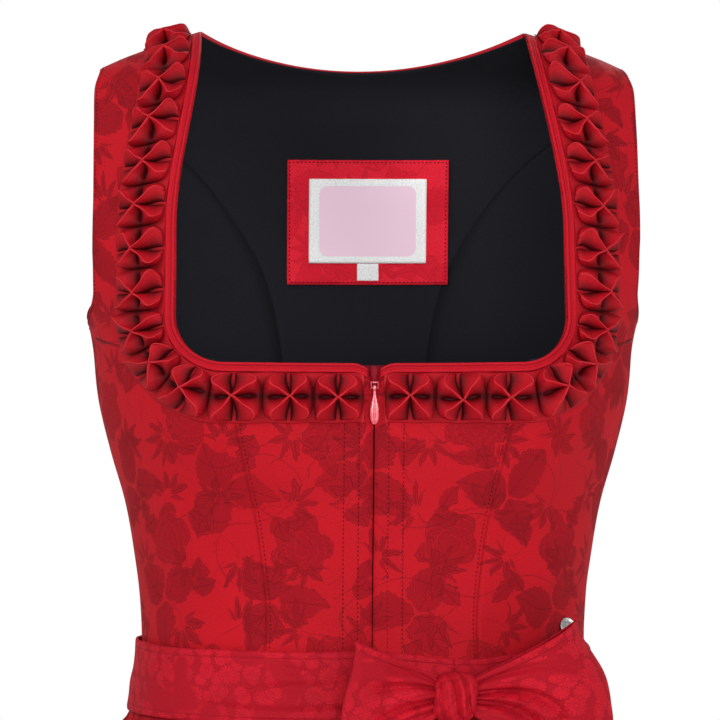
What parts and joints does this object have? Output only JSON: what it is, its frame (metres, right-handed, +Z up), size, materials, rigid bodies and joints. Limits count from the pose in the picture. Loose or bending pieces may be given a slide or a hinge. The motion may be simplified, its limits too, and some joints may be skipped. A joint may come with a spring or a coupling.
{
  "type": "dirndl",
  "caption": "Sleeveless red dirndl with a square ruched neckline, centre front zip, gathered skirt and an apron tied in a bow, filled out with no wearer.",
  "frame": {"origin": "halfway between the two shoulder straps, at the height where they rest on the wearer's shoulders beside the neck", "axes": "+Z up, -Y to the front of the garment, +X to the right-hand side seen from the front"},
  "size_m": [0.6168, 0.523, 1.0088],
  "materials": {
    "bodice_jacquard": "satin-ground jacquard with large leaves and roses in a darker red",
    "apron_jacquard": "jacquard with small daisies in a brighter red",
    "ruche_satin": "plain satin-like weave, folded and pinched",
    "red_binding": "plain weave with fine topstitching",
    "dark_lining": "matt cotton lining, near black",
    "zip_tape": "woven tape with fine coil teeth",
    "zip_enamel": "glossy light red lacquer",
    "woven_label": "fine woven satin, white and pale pink",
    "silver_metal": "aged silver colour"
  },
  "bodies": {
    "garment": {"front_centre_left": "bodice_jacquard", "front_centre_right": "bodice_jacquard", "front_side_left": "bodice_jacquard", "front_side_right": "bodice_jacquard", "back_centre": "bodice_jacquard", "back_side_left": "bodice_jacquard", "back_side_right": "bodice_jacquard", "lining_back_centre": "dark_lining", "lining_back_side_left": "dark_lining", "lining_back_side_right": "dark_lining", "binding_front_left": "red_binding", "binding_front_right": "red_binding", "binding_back": "red_binding", "ruche_left": "ruche_satin", "ruche_right": "ruche_satin", "zip_tape_left": "zip_tape", "zip_tape_right": "zip_tape", "zip_slider": "zip_enamel", "label_patch": "bodice_jacquard", "label": "woven_label", "size_tag": "woven_label", "waist_button": "silver_metal", "skirt_front": "bodice_jacquard", "skirt_back": "bodice_jacquard", "apron_waistband": "apron_jacquard", "apron_skirt": "apron_jacquard", "tie_left": "apron_jacquard", "tie_right": "apron_jacquard", "bow_loop_left": "apron_jacquard", "bow_loop_right": "apron_jacquard", "bow_knot": "apron_jacquard", "bow_tail_left": "apron_jacquard", "bow_tail_right": "apron_jacquard"},
    "zip_pull": {"zip_pull": "zip_enamel"}
  },
  "joints": [
    {"name": "pull_swing", "type": "hinge", "parent": "garment", "child": "zip_pull", "pos_m": [0, -0.11701, -0.1968], "axis": [-1, 0, 0], "range_deg": [0, 150]}
  ]
}
